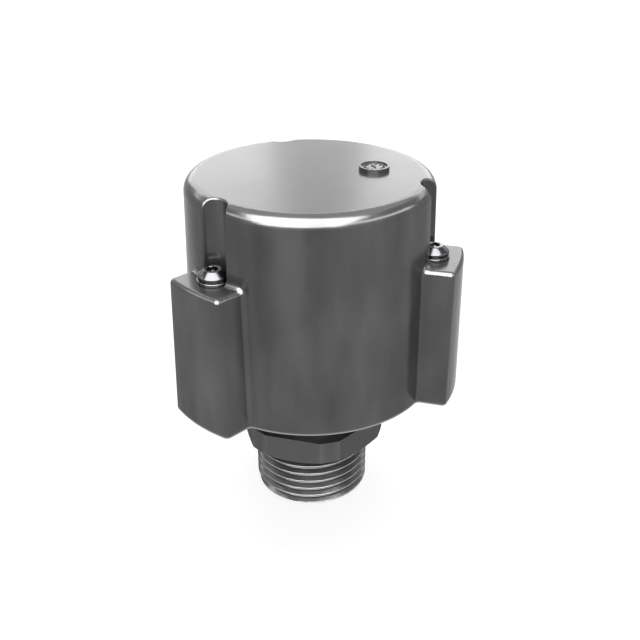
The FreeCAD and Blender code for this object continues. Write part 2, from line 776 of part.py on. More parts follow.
def make_cage():
    """Valve cage: a tube screwed on the spigot, with posts that guide the poppet and a threaded cap end."""
    body = new_piece("valve_cage")
    thread = size("spigot_radius") + size("thread_clearance")
    sill = SPIGOT_TOP + size("cage_sill")
    cap_low = CAGE_TOP - size("cage_cap_height")
    plug = size("adjuster_radius") + size("thread_clearance")
    turn(body, "tube", [(thread, NUT_TOP), (CAGE_RADIUS, NUT_TOP), (CAGE_RADIUS, CAGE_TOP),
                        (plug, CAGE_TOP), (plug, cap_low), (GUIDE_RADIUS, cap_low),
                        (GUIDE_RADIUS, SPIGOT_TOP), (thread, SPIGOT_TOP)])
    half = size("cage_window_half_width")
    outer = CAGE_RADIUS + size("cut_overrun")
    window = outline(body, "window_outline", "XY_Plane",
                     [(half, half), (half, outer), (-half, outer), (-half, half)], sill)
    window = extrude(body, "window", window, cap_low - size("cage_window_web") - sill, True)
    polar(body, "windows", [window], size("cage_window_count"), False)


def make_seat():
    """Seat pressed into the top of the spigot, with a raised lip that the poppet's seal closes on."""
    body = new_piece("valve_seat")
    floor = SPIGOT_TOP - size("seat_plug_depth")
    lip = size("seat_plug_radius")
    flange = size("spigot_radius") - size("seat_flange_inset")
    turn(body, "seat", [(size("seat_bore_radius"), floor), (lip, floor), (lip, SPIGOT_TOP),
                        (flange, SPIGOT_TOP), (flange, SEAT_TOP),
                        (lip, SEAT_TOP), (lip, LIP_TOP), (lip - size("seat_lip_width"), LIP_TOP),
                        (lip - size("seat_lip_width"), SEAT_TOP), (size("seat_bore_radius"), SEAT_TOP)])


def make_poppet():
    """Pressure poppet with its seal in a groove, a hub for the vacuum stem and ports around it."""
    body = new_piece("pressure_poppet")
    bore = size("stem_radius") + size("guide_clearance")
    groove_inner = size("pressure_seal_inner") - size("guide_clearance")
    groove_outer = size("pressure_seal_outer") + size("guide_clearance")
    groove_top = SEAL_LOW + size("pressure_seal_thickness")
    ring_outer = size("pressure_spring_radius") - size("pressure_spring_wire") / 2 - size("hole_clearance")
    ring_inner = ring_outer - size("poppet_ring_width")
    ring_top = POPPET_TOP + size("poppet_ring_height")
    turn(body, "poppet", [(bore, POPPET_LOW), (groove_inner, POPPET_LOW), (groove_inner, groove_top),
                          (groove_outer, groove_top), (groove_outer, POPPET_LOW),
                          (size("poppet_radius"), POPPET_LOW), (size("poppet_radius"), POPPET_TOP),
                          (ring_outer, POPPET_TOP), (ring_outer, ring_top), (ring_inner, ring_top),
                          (ring_inner, POPPET_TOP), (size("poppet_hub_radius"), POPPET_TOP),
                          (size("poppet_hub_radius"), HUB_TOP), (bore, HUB_TOP)])
    port = circle_sketch(body, "port_circle", "XY_Plane", (0, size("port_circle_radius")),
                         size("port_radius"), POPPET_LOW)
    port = extrude(body, "port", port, size("poppet_thickness"), True)
    polar(body, "ports", [port], size("port_count"), False)
    seal = new_piece("pressure_seal", SEAL_LOW)
    turn(seal, "seal_ring", ring_steps(size("pressure_seal_inner"), size("pressure_seal_outer"), ZERO,
                                       size("pressure_seal_thickness")))


def make_vacuum_valve():
    """Vacuum valve: a disc and stem that hang through the poppet, its seal, keeper and clip."""
    body = new_piece("vacuum_valve")
    seal_low = POPPET_LOW - size("seal_clearance") - size("vacuum_seal_thickness")
    disc_low = seal_low - size("vacuum_disc_thickness")
    clip_top = CLIP_LOW + size("clip_thickness")
    turn(body, "disc_and_stem", [(0, disc_low), (VACUUM_DISC_RADIUS, disc_low),
                                 (VACUUM_DISC_RADIUS, seal_low), (size("stem_radius"), seal_low),
                                 (size("stem_radius"), CLIP_LOW), (size("clip_groove_radius"), CLIP_LOW),
                                 (size("clip_groove_radius"), clip_top), (size("stem_radius"), clip_top),
                                 (size("stem_radius"), STEM_TOP), (0, STEM_TOP)])
    seal = new_piece("vacuum_seal", seal_low)
    turn(seal, "seal_disc", ring_steps(size("stem_radius") + size("guide_clearance"),
                                       VACUUM_DISC_RADIUS, ZERO, size("vacuum_seal_thickness")))
    keeper = new_piece("spring_keeper", KEEPER_LOW)
    turn(keeper, "keeper_ring", ring_steps(size("stem_radius") + size("guide_clearance"),
                                           size("keeper_radius"), ZERO, size("keeper_thickness")))
    clip = new_piece("keeper_clip", CLIP_LOW)
    turn(clip, "clip_ring", ring_steps(size("clip_groove_radius") + size("guide_clearance"),
                                       size("clip_radius"), ZERO, size("clip_thickness")))
    half = size("clip_gap_half_width")
    reach = size("clip_radius") + size("cut_overrun")
    gap = outline(clip, "clip_gap_outline", "XY_Plane", [(half, 0), (half, reach), (-half, reach), (-half, 0)])
    extrude(clip, "clip_gap", gap, size("clip_thickness"), True)


def make_spring(label, seat, radius, wire, height, pitch):
    """Compression spring standing on a seat. Its wire has flat sides, which keeps its mesh small."""
    helix = DOC.addObject("Part::Helix", label + "_helix")
    bind(helix, "Radius", radius)
    bind(helix, "Pitch", pitch)
    bind(helix, "Height", height - wire)
    bind(helix, "Placement.Base.z", seat + wire / 2)
    section = DOC.addObject("Part::RegularPolygon", label + "_section")
    bind(section, "Polygon", size("spring_wire_sides"))
    bind(section, "Circumradius", wire / 2)
    section.Placement.Rotation = FreeCAD.Rotation(FreeCAD.Vector(1, 0, 0), 90)
    bind(section, "Placement.Base.x", radius)
    bind(section, "Placement.Base.z", seat + wire / 2)
    spring = DOC.addObject("Part::Sweep", label)
    spring.Label = label
    spring.Sections = [section]
    spring.Spine = (helix, [])
    spring.Solid = True
    spring.Frenet = True
    PIECES.append(spring)


def make_adjuster():
    """Slotted plug screwed into the cage, which sets the pressure spring."""
    body = new_piece("spring_adjuster", ADJUSTER_LOW)
    turn(body, "plug", ring_steps(size("adjuster_bore_radius"), size("adjuster_radius"), ZERO,
                                  size("adjuster_thickness")))
    half = size("adjuster_slot_half_width")
    reach = size("adjuster_radius") + size("cut_overrun")
    slot = outline(body, "slot_outline", "XY_Plane", [(reach, -half), (reach, half), (-reach, half),
                                                      (-reach, -half)], size("adjuster_thickness"))
    extrude(body, "slot", slot, size("adjuster_slot_depth"), True, True)


# Filter element

def make_element():
    """Filter element: gaskets, end caps and the slotted core that the pleats stand round."""
    for label, seat in (("lower_gasket", BASE_TOP), ("upper_gasket", ELEMENT_TOP)):
        gasket = new_piece(label, seat)
        turn(gasket, label + "_ring", ring_steps(ELEMENT_INNER + size("gasket_inner_inset"),
                                                 ELEMENT_OUTER - size("gasket_outer_inset"),
                                                 ZERO, size("element_gasket_thickness")))
    gauge = size("cap_gauge")
    rim = size("cap_rim_height")
    outer = ELEMENT_OUTER
    inner = ELEMENT_INNER
    lower = new_piece("lower_end_cap", ELEMENT_LOW)
    turn(lower, "channel", [(inner, 0), (outer, 0), (outer, rim), (outer - gauge, rim), (outer - gauge, gauge),
                            (inner + gauge, gauge), (inner + gauge, rim), (inner, rim)])
    upper = new_piece("upper_end_cap", ELEMENT_TOP)
    turn(upper, "dish", [(0, -gauge), (outer - gauge, -gauge), (outer - gauge, -rim), (outer, -rim),
                         (outer, 0), (0, 0)])
    core = new_piece("filter_core", ELEMENT_LOW + gauge)
    core_inner = inner + gauge + size("guide_clearance")
    core_outer = core_inner + size("core_gauge")
    height = ELEMENT_TOP - ELEMENT_LOW - gauge * 2
    turn(core, "tube", ring_steps(core_inner, core_outer, ZERO, height))
    slots = []
    half = size("core_slot_half_width")
    rows = int(size("core_slot_rows").value)
    first = size("core_slot_margin")
    spacing = (height - first * 2 - size("core_slot_height")) / (rows - 1)
    for row in range(rows):
        low = first + spacing * row
        high = low + size("core_slot_height")
        slot = outline(core, "slot_outline_%d" % (row + 1), "XZ_Plane",
                       [(half, low), (half, high), (-half, high), (-half, low)])
        slots.append(extrude(core, "slot_%d" % (row + 1), slot, core_outer + size("cut_overrun"), True))
    polar(core, "slots", slots, size("core_slot_columns"), False)


def star(tip, valley, count):
    """Return a zigzag wire about the origin."""
    points = []
    for number in range(count * 2):
        angle = math.pi * number / count
        radius = valley if number % 2 else tip
        points.append(FreeCAD.Vector(radius * math.cos(angle), radius * math.sin(angle), 0))
    return Part.Wire(Part.makePolygon(points + points[:1]))


def make_media():
    """Pleated filter paper between the end caps, round the core."""
    gauge = size("cap_gauge").value
    tip = ELEMENT_OUTER.value - gauge - size("media_clearance").value
    core_outer = ELEMENT_INNER.value + gauge + size("guide_clearance").value
    valley = core_outer + size("core_gauge").value + size("media_clearance").value
    paper = size("pleat_gauge").value
    count = int(size("pleat_count").value)
    face = Part.Face(star(tip, valley + paper, count)).cut(Part.Face(star(tip - paper, valley, count)))
    media = DOC.addObject("Part::Feature", "filter_media")
    media.Label = "filter_media"
    height = ELEMENT_TOP.value - ELEMENT_LOW.value - gauge * 2
    media.Shape = face.extrude(FreeCAD.Vector(0, 0, height))
    bind(media, "Placement.Base.z", ELEMENT_LOW + size("cap_gauge"))
    PIECES.append(media)


def make_baffle():
    """Splash baffle: a ring on the ledge in the bore that holds a disc up on three legs."""
    body = new_piece("splash_baffle", size("baffle_height"))
    ring_outer = PASSAGE_RADIUS - size("thread_clearance")
    ring_inner = ring_outer - size("baffle_ring_width")
    disc_low = size("baffle_leg_height")
    disc_top = disc_low + size("baffle_disc_thickness")
    turn(body, "baffle_ring", ring_steps(ring_inner, ring_outer, ZERO, size("baffle_ring_height")))
    half = size("baffle_leg_half_width")
    inner = ring_outer - size("baffle_ring_width") / 2 - size("baffle_leg_gauge") / 2
    outer = inner + size("baffle_leg_gauge")
    foot = size("baffle_ring_height") / 2
    leg = outline(body, "leg_outline", "XY_Plane", [(half, inner), (half, outer), (-half, outer),
                                                    (-half, inner)], foot)
    leg = extrude(body, "leg", leg, disc_top - foot)
    start = size("baffle_disc_radius") / 2
    tab = outline(body, "tab_outline", "XY_Plane", [(half, start), (half, outer), (-half, outer),
                                                    (-half, start)], disc_low)
    tab = extrude(body, "tab", tab, size("baffle_disc_thickness"))
    polar(body, "legs", [leg, tab], size("baffle_leg_count"), True)
    disc = circle_sketch(body, "disc_circle", "XY_Plane", (0, 0), size("baffle_disc_radius"), disc_low)
    extrude(body, "disc", disc, size("baffle_disc_thickness"))


def write_pieces():
    """Check every object of the document and write each sub-part."""
    DOC.recompute()
    for item in DOC.Objects:
        if "Invalid" in item.State or "Error" in item.State:
            raise RuntimeError("%s failed: %s" % (item.Name, item.State))
    os.makedirs("parts", exist_ok=True)
    for piece in PIECES:
        if piece.Shape.isNull() or not piece.Shape.isValid() or not piece.Shape.Solids:
            raise RuntimeError("%s has no valid solid" % piece.Label)
        piece.Shape.exportStep("parts/%s.step" % piece.Label)
        print("%-18s %9.1f mm3" % (piece.Label, piece.Shape.Volume))


make_cover()
make_screws()
make_base()
make_adapter()
make_seals_and_nut()
make_cage()
make_seat()
make_poppet()
make_vacuum_valve()
make_spring("pressure_spring", POPPET_TOP, size("pressure_spring_radius"), size("pressure_spring_wire"),
            ADJUSTER_LOW - POPPET_TOP, size("pressure_spring_pitch"))
make_spring("vacuum_spring", HUB_TOP, size("vacuum_spring_radius"), size("vacuum_spring_wire"),
            size("vacuum_spring_height"), size("vacuum_spring_pitch"))
make_adjuster()
make_element()
make_media()
make_baffle()
write_pieces()
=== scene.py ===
"""Looks of a screw-in tank breather valve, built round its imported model. Metres, +Z up.

The axis of the breather is Z and the open end of the threaded nipple is at z = 0.
"""

import logging
import math
from dataclasses import dataclass, field
from enum import Enum
from typing import Dict, List, Optional, Sequence, Tuple, Union

import bmesh
import bpy
from mathutils import Euler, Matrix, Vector


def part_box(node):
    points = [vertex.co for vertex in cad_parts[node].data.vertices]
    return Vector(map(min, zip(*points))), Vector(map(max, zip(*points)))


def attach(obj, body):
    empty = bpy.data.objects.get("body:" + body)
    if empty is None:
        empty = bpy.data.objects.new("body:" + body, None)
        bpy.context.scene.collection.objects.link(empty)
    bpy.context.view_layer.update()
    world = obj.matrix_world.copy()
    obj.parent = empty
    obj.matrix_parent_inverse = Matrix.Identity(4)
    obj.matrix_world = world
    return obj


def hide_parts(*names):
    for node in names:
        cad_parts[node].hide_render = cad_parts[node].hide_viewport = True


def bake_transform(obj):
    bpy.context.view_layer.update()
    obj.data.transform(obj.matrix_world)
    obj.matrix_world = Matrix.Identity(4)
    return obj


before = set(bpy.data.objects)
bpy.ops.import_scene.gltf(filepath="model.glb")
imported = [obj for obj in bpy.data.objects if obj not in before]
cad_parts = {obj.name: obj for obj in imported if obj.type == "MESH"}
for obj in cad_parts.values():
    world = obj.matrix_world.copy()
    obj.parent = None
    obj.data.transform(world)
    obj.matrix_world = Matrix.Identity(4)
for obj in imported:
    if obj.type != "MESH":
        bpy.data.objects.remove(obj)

LOG = logging.getLogger("breather")
MM = 0.001
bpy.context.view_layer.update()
# Mean value of a noise texture.
NOISE_MIDDLE = 0.5
# Distances in metres within which points are welded, in new meshes and in copies of nodes.
WELD = 1e-7
NODE_WELD = 2e-6
# How far a point may be from a level and still count as on it.
LEVEL_SLACK = 1e-5
# Lobes of the screws' sockets.
LOBE_COUNT = 6
# Most of an edge that one rounded corner may take.
CORNER_SHARE = 0.45
# Sockets of the Mix node in its colour mode.
MIX_SHARE, MIX_FIRST, MIX_SECOND, MIX_RESULT = 0, 6, 7, 2

Number = Union[int, float]
Colour = Tuple[float, float, float]


class Slot(Enum):
    """Material slots of the record."""

    CAST_METAL = "cast_metal"
    BASE_METAL = "base_metal"
    TURNED_METAL = "turned_metal"
    SCREW_STEEL = "screw_steel"
    WASHER_STEEL = "washer_steel"
    PLATED_STEEL = "plated_steel"
    CAGE_METAL = "cage_metal"
    SEAT_BRASS = "seat_brass"
    VACUUM_BRASS = "vacuum_brass"
    POPPET_METAL = "poppet_metal"
    SPRING_STEEL = "spring_steel"
    ELEMENT_STEEL = "element_steel"
    SEAL_RUBBER = "seal_rubber"
    GASKET_RUBBER = "gasket_rubber"
    FILTER_PAPER = "filter_paper"


class Body(Enum):
    """Bodies that pieces ride on."""

    HOUSING = "housing"
    PRESSURE_VALVE = "pressure_valve"
    VACUUM_POPPET = "vacuum_poppet"


# Shader maths


class Wire:
    """A shader socket that takes part in arithmetic."""

    def __init__(self, graph: "Graph", socket: bpy.types.NodeSocket) -> None:
        """Wrap a socket.

        Args:
            graph: The graph that the socket belongs to.
            socket: An output socket that carries a value.
        """
        self.graph = graph
        self.socket = socket

    def _join(self, operation: str, first: "Operand", second: "Operand") -> "Wire":
        """Add a Math node.

        Args:
            operation: The Math node's operation.
            first: The value of its first socket.
            second: The value of its second socket.

        Returns:
            The node's result.
        """
        return self.graph.node("ShaderNodeMath", {"operation": operation}, {0: first, 1: second})

    def __add__(self, other: "Operand") -> "Wire":
        """Return the sum."""
        return self._join("ADD", self, other)

    def __sub__(self, other: "Operand") -> "Wire":
        """Return the difference."""
        return self._join("SUBTRACT", self, other)

    def __rsub__(self, other: "Operand") -> "Wire":
        """Return the difference with a number on the left."""
        return self._join("SUBTRACT", other, self)

    def __mul__(self, other: "Operand") -> "Wire":
        """Return the product."""
        return self._join("MULTIPLY", self, other)

    def __truediv__(self, other: "Operand") -> "Wire":
        """Return the quotient."""
        return self._join("DIVIDE", self, other)


Operand = Union[Wire, Number]
Plug = Union[Wire, Number, Sequence[float], bpy.types.NodeSocket]


class Graph:
    """A node tree under construction."""

    def __init__(self, tree: bpy.types.NodeTree) -> None:
        """Take a tree.

        Args:
            tree: The node tree of a material or of the world.
        """
        self.tree = tree

    def node(self, kind: str, settings: Dict[str, object], plugs: Dict[Union[int, str], Plug],
             output: Union[int, str] = 0) -> Wire:
        """Add a node.

        Args:
            kind: The node's type.
            settings: Properties that are set before its sockets.
            plugs: Values or links of its input sockets, by index or name.
            output: The output socket to hand back.

        Returns:
            The chosen output.
        """
        item = self.tree.nodes.new(kind)
        for name, value in settings.items():
            setattr(item, name, value)
        for key, plug in plugs.items():
            self.plug(item.inputs[key], plug)
        return Wire(self, item.outputs[output])

    def plug(self, socket: bpy.types.NodeSocket, plug: Plug) -> None:
        """Link or set one input socket.

        Args:
            socket: The input.
            plug: A link, or a constant.
        """
        if isinstance(plug, Wire):
            self.tree.links.new(plug.socket, socket)
        elif isinstance(plug, (tuple, list)) and len(plug) == 3 and socket.type == "RGBA":
            socket.default_value = (*plug, 1.0)
        else:
            socket.default_value = plug

    def mirrored(self) -> Wire:
        """Return 1 for glossy and transmission rays."""
        glossy = self.node("ShaderNodeLightPath", {}, {}, "Is Glossy Ray")
        through = Wire(self, glossy.socket.node.outputs["Is Transmission Ray"])
        return self.node("ShaderNodeMath", {"operation": "MAXIMUM"}, {0: glossy, 1: through})

    def seen_directly(self) -> Wire:
        """Return 1 for camera, glossy and transmission rays."""
        camera = self.node("ShaderNodeLightPath", {}, {}, "Is Camera Ray")
        return self.node("ShaderNodeMath", {"operation": "MAXIMUM"}, {0: camera, 1: self.mirrored()})


class Shader(Graph):
    """One material under construction, with its Principled BSDF."""

    def __init__(self, name: str) -> None:
        """Start a material.

        Args:
            name: The material's name.
        """
        self.material = bpy.data.materials.new(name)
        self.material.use_nodes = True
        super().__init__(self.material.node_tree)
        self.surface = self.tree.nodes["Principled BSDF"]

    def set(self, **plugs: Plug) -> None:
        """Set inputs of the Principled BSDF, with underscores for spaces.

        Args:
            **plugs: A link or a constant for each input.
        """
        for name, plug in plugs.items():
            self.plug(self.surface.inputs[name.replace("_", " ")], plug)

    def place(self) -> Wire:
        """Return the point on the object, in metres."""
        return self.node("ShaderNodeTexCoord", {}, {}, "Object")

    def stretched(self, factors: Colour) -> Wire:
        """Return the point on the object with each axis multiplied.

        Args:
            factors: What the three axes are multiplied by.

        Returns:
            The point.
        """
        return self.node("ShaderNodeVectorMath", {"operation": "MULTIPLY"}, {0: self.place(), 1: factors})

    def uprightness(self) -> Wire:
        """Return 1 on upright walls and 0 on level faces."""
        facing = self.node("ShaderNodeTexCoord", {}, {}, "Normal")
        level = self.node("ShaderNodeSeparateXYZ", {}, {0: facing}, "Z")
        return 1 - level * level

    def height(self) -> Wire:
        """Return the height on the object, in metres."""
        return self.node("ShaderNodeSeparateXYZ", {}, {0: self.place()}, "Z")

    def reach(self) -> Wire:
        """Return the distance from the object's upright axis, in metres."""
        level = self.stretched((1, 1, 0))
        return self.node("ShaderNodeVectorMath", {"operation": "LENGTH"}, {0: level}, "Value")

    def near(self, value: Wire, level: float, band: float) -> Wire:
        """Mark where a value is close to a level.

        Args:
            value: The value.
            level: Where the mark is 1.
            band: How far from the level it has fallen to 0.

        Returns:
            The mark.
        """
        away = self.node("ShaderNodeMath", {"operation": "ABSOLUTE"}, {0: (value - level) / band})
        return 1 - self.node("ShaderNodeMath", {"operation": "MINIMUM"}, {0: away, 1: 1.0})

    def noise(self, grain: float, detail: float = 3.0, stretch: Colour = (1, 1, 1)) -> Wire:
        """Return smooth noise about 0.5.

        Args:
            grain: The size of its spots in metres.
            detail: How many finer layers are added.
            stretch: Factors on the three axes; a small one draws the spots out along that axis.

        Returns:
            The noise value.
        """
        plugs = {"Vector": self.stretched(stretch), "Scale": 1 / grain, "Detail": detail}
        return self.node("ShaderNodeTexNoise", {}, plugs)

    def blend(self, share: Operand, first: Plug, second: Plug) -> Wire:
        """Mix two colours.

        Args:
            share: 0 for the first and 1 for the second.
            first: The first colour.
            second: The second colour.

        Returns:
            The mixed colour.
        """
        plugs = {MIX_SHARE: share, MIX_FIRST: first, MIX_SECOND: second}
        return self.node("ShaderNodeMix", {"data_type": "RGBA"}, plugs, MIX_RESULT)

    def relief(self, height: Wire, depth: float) -> None:
        """Let a height field shape the surface normal.

        Args:
            height: The field, about 0 to 1.
            depth: What one unit of it measures in metres.
        """
        plugs = {"Strength": 1.0, "Distance": depth, "Height": height}
        self.set(Normal=self.node("ShaderNodeBump", {}, plugs, "Normal"))


# Finishes


@dataclass(frozen=True)
class Finish:
    """What all finishes share."""

    name: str
    tone: Colour

    def build(self) -> bpy.types.Material:
        """Return the finished material."""
        raise NotImplementedError


@dataclass(frozen=True)
class CastMetal(Finish):
    """Die-cast metal: a dull skin with faint specks, painted reflection streaks up its walls, and a painted
    highlight that may run along its rim.
    """

    reflection_and_speck_tone: Colour = (0.2, 0.2, 0.205)
    edge_tint: Colour = (0.55, 0.55, 0.55)
    roughness: float = 0.21
    skin_grain: float = 0.5 * MM
    skin_depth: float = 0.0012 * MM
    speck_grain: float = 1.5 * MM
    reflection_streak_grain: float = 9 * MM
    reflection_streak_stretch: float = 0.3
    painted_reflection_contrast: float = 2.2
    speck_contrast: float = 0.12
    light_tone_share: float = 0.45
    reflection_streak_roughness: float = 0.1
    speck_roughness: float = 0.06
    bareness: float = 0.5
    skin_shine: float = 0.1
    rim_highlight_tone: Colour = (0.45, 0.45, 0.45)
    rim_height: float = 0.0
    rim_band: float = 0.5 * MM

    def build(self) -> bpy.types.Material:
        """Return the finished material."""
        shader = Shader(self.name)
        reflection_streak_noise = shader.noise(self.reflection_streak_grain, 2.0, (1.0, 1.0, self.reflection_streak_stretch))
        specks = shader.noise(self.speck_grain, 2.0)
        # Painted reflection: soft upright streaks of lighter tone on the walls stand in for reflected bands
        # of light.
        painted_reflection_streaks = (reflection_streak_noise - NOISE_MIDDLE) * shader.uprightness() * self.painted_reflection_contrast
        share = painted_reflection_streaks + (specks - NOISE_MIDDLE) * self.speck_contrast + self.light_tone_share
        tone = shader.blend(share, self.tone, self.reflection_and_speck_tone)
        if self.rim_height:
            # Painted highlight: a lighter band along the outer edge of the cover's open end.
            painted_highlights = shader.near(shader.height(), self.rim_height, self.rim_band)
            tone = shader.blend(painted_highlights, tone, self.rim_highlight_tone)
        dullness = (reflection_streak_noise - NOISE_MIDDLE) * self.reflection_streak_roughness
        roughness = dullness + (specks - NOISE_MIDDLE) * self.speck_roughness + self.roughness
        shader.set(Metallic=self.bareness, Base_Color=tone, Roughness=roughness)
        shader.set(Specular_Tint=self.edge_tint, Specular_IOR_Level=self.skin_shine)
        shader.relief(shader.noise(self.skin_grain, 3.0), self.skin_depth)
        return shader.material


@dataclass(frozen=True)
class TurnedMetal(Finish):
    """Metal from a lathe: fine rings round the axis, and painted highlights as lighter bands at given radii.

    Each painted highlight is given as a radius and how far its band takes the highlight tone.
    """

    line_tone: Colour = (0.3, 0.3, 0.3)
    roughness: float = 0.24
    feed: float = 0.14 * MM
    ring_squeeze: float = 0.02
    ring_contrast: float = 0.8
    smudge_grain: float = 4.2 * MM
    smudge_contrast: float = 0.5
    line_share: float = 0.3
    ring_roughness: float = 0.1
    smudge_roughness: float = 0.16
    line_depth: float = 0.0004 * MM
    bareness: float = 0.55
    edge_tint: Colour = (0.2, 0.2, 0.2)
    painted_highlights: Tuple[Tuple[float, float], ...] = ()
    highlight_tone: Colour = (0.3, 0.3, 0.3)
    highlight_band: float = 0.15 * MM

    def build(self) -> bpy.types.Material:
        """Return the finished material."""
        shader = Shader(self.name)
        rings = shader.noise(self.feed, 2.0, (self.ring_squeeze, self.ring_squeeze, 1.0))
        smudge = shader.noise(self.smudge_grain, 3.0)
        lines = (rings - NOISE_MIDDLE) * self.ring_contrast
        share = lines + (smudge - NOISE_MIDDLE) * self.smudge_contrast + self.line_share
        tone = shader.blend(share, self.tone, self.line_tone)
        # Painted highlight: a lighter band at each listed radius stands in for glints on the edges there.
        for radius, brightness in self.painted_highlights:
            mark = shader.near(shader.reach(), radius, self.highlight_band)
            tone = shader.blend(mark * brightness, tone, self.highlight_tone)
        dullness = (smudge - NOISE_MIDDLE) * self.smudge_roughness
        roughness = dullness + (rings - NOISE_MIDDLE) * self.ring_roughness + self.roughness
        shader.set(Metallic=self.bareness, Base_Color=tone, Roughness=roughness)
        shader.set(Specular_Tint=self.edge_tint, Specular_IOR_Level=0.0)
        shader.relief(rings, self.line_depth)
        return shader.material


@dataclass(frozen=True)
class PlatedMetal(Finish):
    """Plated or passivated small parts: smooth, with faint stains."""

    stain_tone: Colour = (0.3, 0.3, 0.3)
    roughness: float = 0.22
    stain_grain: float = 1.6 * MM
    stain_start: float = 0.3
    stain_contrast: float = 1.3
    stain_roughness: float = 0.2
    grain_ratio: float = 12
    grain_depth: float = 0.003 * MM

    def build(self) -> bpy.types.Material:
        """Return the finished material."""
        shader = Shader(self.name)
        stain = shader.noise(self.stain_grain, 4.0)
        share = (stain - self.stain_start) * self.stain_contrast
        shader.set(Metallic=1.0, Base_Color=shader.blend(share, self.tone, self.stain_tone))
        shader.set(Roughness=(stain - NOISE_MIDDLE) * self.stain_roughness + self.roughness)
        shader.relief(shader.noise(self.stain_grain / self.grain_ratio, 2.0), self.grain_depth)
        return shader.material


@dataclass(frozen=True)
class Rubber(Finish):
    """Moulded rubber with a dusty bloom."""

    bloom_tone: Colour = (0.05, 0.05, 0.052)
    roughness: float = 0.55
    bloom_grain: float = 1.2 * MM
    bloom_start: float = 0.35
    bloom_contrast: float = 1.5
    bloom_roughness: float = 0.3
    pore_ratio: float = 6
    pore_depth: float = 0.01 * MM

    def build(self) -> bpy.types.Material:
        """Return the finished material."""
        shader = Shader(self.name)
        bloom = shader.noise(self.bloom_grain, 5.0)
        share = (bloom - self.bloom_start) * self.bloom_contrast
        shader.set(Base_Color=shader.blend(share, self.tone, self.bloom_tone))
        shader.set(Roughness=(bloom - NOISE_MIDDLE) * self.bloom_roughness + self.roughness)
        shader.relief(shader.noise(self.bloom_grain / self.pore_ratio, 3.0), self.pore_depth)
        return shader.material


@dataclass(frozen=True)
class Paper(Finish):
    """Resin-treated filter paper: short fibres in a warm sheet."""

    fibre_tone: Colour = (0.62, 0.5, 0.32)
    roughness: float = 0.85
    fibre_length: float = 0.9 * MM
    fibre_slimness: float = 6.0
    fibre_start: float = 0.3
    fibre_contrast: float = 1.8
    fibre_depth: float = 0.03 * MM

    def build(self) -> bpy.types.Material:
        """Return the finished material."""
        shader = Shader(self.name)
        slim = self.fibre_slimness
        along = shader.noise(self.fibre_length, 4.0, (slim, slim, 1.0))
        across = shader.noise(self.fibre_length, 4.0, (1.0, 1.0, slim))
        fibres = (along + across) * 0.5
        share = (fibres - self.fibre_start) * self.fibre_contrast
        shader.set(Base_Color=shader.blend(share, self.tone, self.fibre_tone), Roughness=self.roughness)
        shader.relief(fibres, self.fibre_depth)
        return shader.material


FINISHES: Dict[Slot, Finish] = {
    # The cover's tone carries painted reflection streaks on its walls and a painted highlight along its rim
    # at 30.5 mm.
    Slot.CAST_METAL: CastMetal("cast_cover_metal", (0.072, 0.072, 0.074), (0.135, 0.135, 0.138),
                               rim_height=30.5 * MM),
    Slot.BASE_METAL: CastMetal("cast_base_metal", (0.42, 0.42, 0.425), (0.52, 0.52, 0.52),
                               edge_tint=(0.8, 0.8, 0.8), roughness=0.4),
    # Painted light: bright lines on the thread crests at 13.49 mm and a slightly lighter tone on the
    # hexagon's turned corners at 17.19 mm.
    Slot.TURNED_METAL: TurnedMetal("turned_adapter_metal", (0.102, 0.102, 0.104), (0.114, 0.114, 0.116),
                                   painted_highlights=((13.49 * MM, 0.8), (17.19 * MM, 0.14))),
    Slot.SCREW_STEEL: PlatedMetal("screw_head_steel", (0.04, 0.04, 0.042), (0.055, 0.055, 0.055), 0.2),
    Slot.WASHER_STEEL: PlatedMetal("washer_plating", (0.07, 0.07, 0.072), (0.1, 0.1, 0.1), 0.24),
    Slot.PLATED_STEEL: PlatedMetal("zinc_plating", (0.42, 0.42, 0.41), (0.55, 0.54, 0.5), 0.3),
    Slot.CAGE_METAL: TurnedMetal("cage_metal", (0.35, 0.35, 0.35), (0.46, 0.46, 0.46), 0.3),
    Slot.SEAT_BRASS: TurnedMetal("seat_brass", (0.62, 0.44, 0.18), (0.74, 0.56, 0.28), 0.25),
    Slot.VACUUM_BRASS: TurnedMetal("vacuum_valve_brass", (0.6, 0.42, 0.17), (0.72, 0.54, 0.26), 0.25),
    Slot.POPPET_METAL: TurnedMetal("poppet_metal", (0.5, 0.5, 0.5), (0.62, 0.62, 0.62), 0.27),
    Slot.SPRING_STEEL: PlatedMetal("spring_wire", (0.3, 0.29, 0.27), (0.42, 0.4, 0.37), 0.3),
    Slot.ELEMENT_STEEL: PlatedMetal("element_tinplate", (0.45, 0.45, 0.44), (0.58, 0.57, 0.54), 0.32),
    Slot.SEAL_RUBBER: Rubber("seal_rubber", (0.018, 0.018, 0.019)),
    Slot.GASKET_RUBBER: Rubber("gasket_rubber", (0.022, 0.022, 0.023), (0.06, 0.06, 0.06), 0.65),
    Slot.FILTER_PAPER: Paper("filter_paper", (0.5, 0.38, 0.22)),
}


class Wardrobe:
    """Makes each finish once and hands it out."""

    def __init__(self) -> None:
        """Start with nothing made."""
        self._made: Dict[Slot, bpy.types.Material] = {}

    def material(self, slot: Slot) -> bpy.types.Material:
        """Return the material of a slot, made on first use.

        Args:
            slot: The record's slot.

        Returns:
            The material.
        """
        if slot not in self._made:
            self._made[slot] = FINISHES[slot].build()
        return self._made[slot]

    def dress(self, item: bpy.types.Object, slot: Slot) -> None:
        """Give an object one material.

        Args:
            item: The object.
            slot: The record's slot.
        """
        item.data.materials.clear()
        item.data.materials.append(self.material(slot))


# Mesh helpers


@dataclass(frozen=True)
class Ring:
    """One ring of a turned mesh."""

    radius: float
    height: float
    lobes: float = 0.0


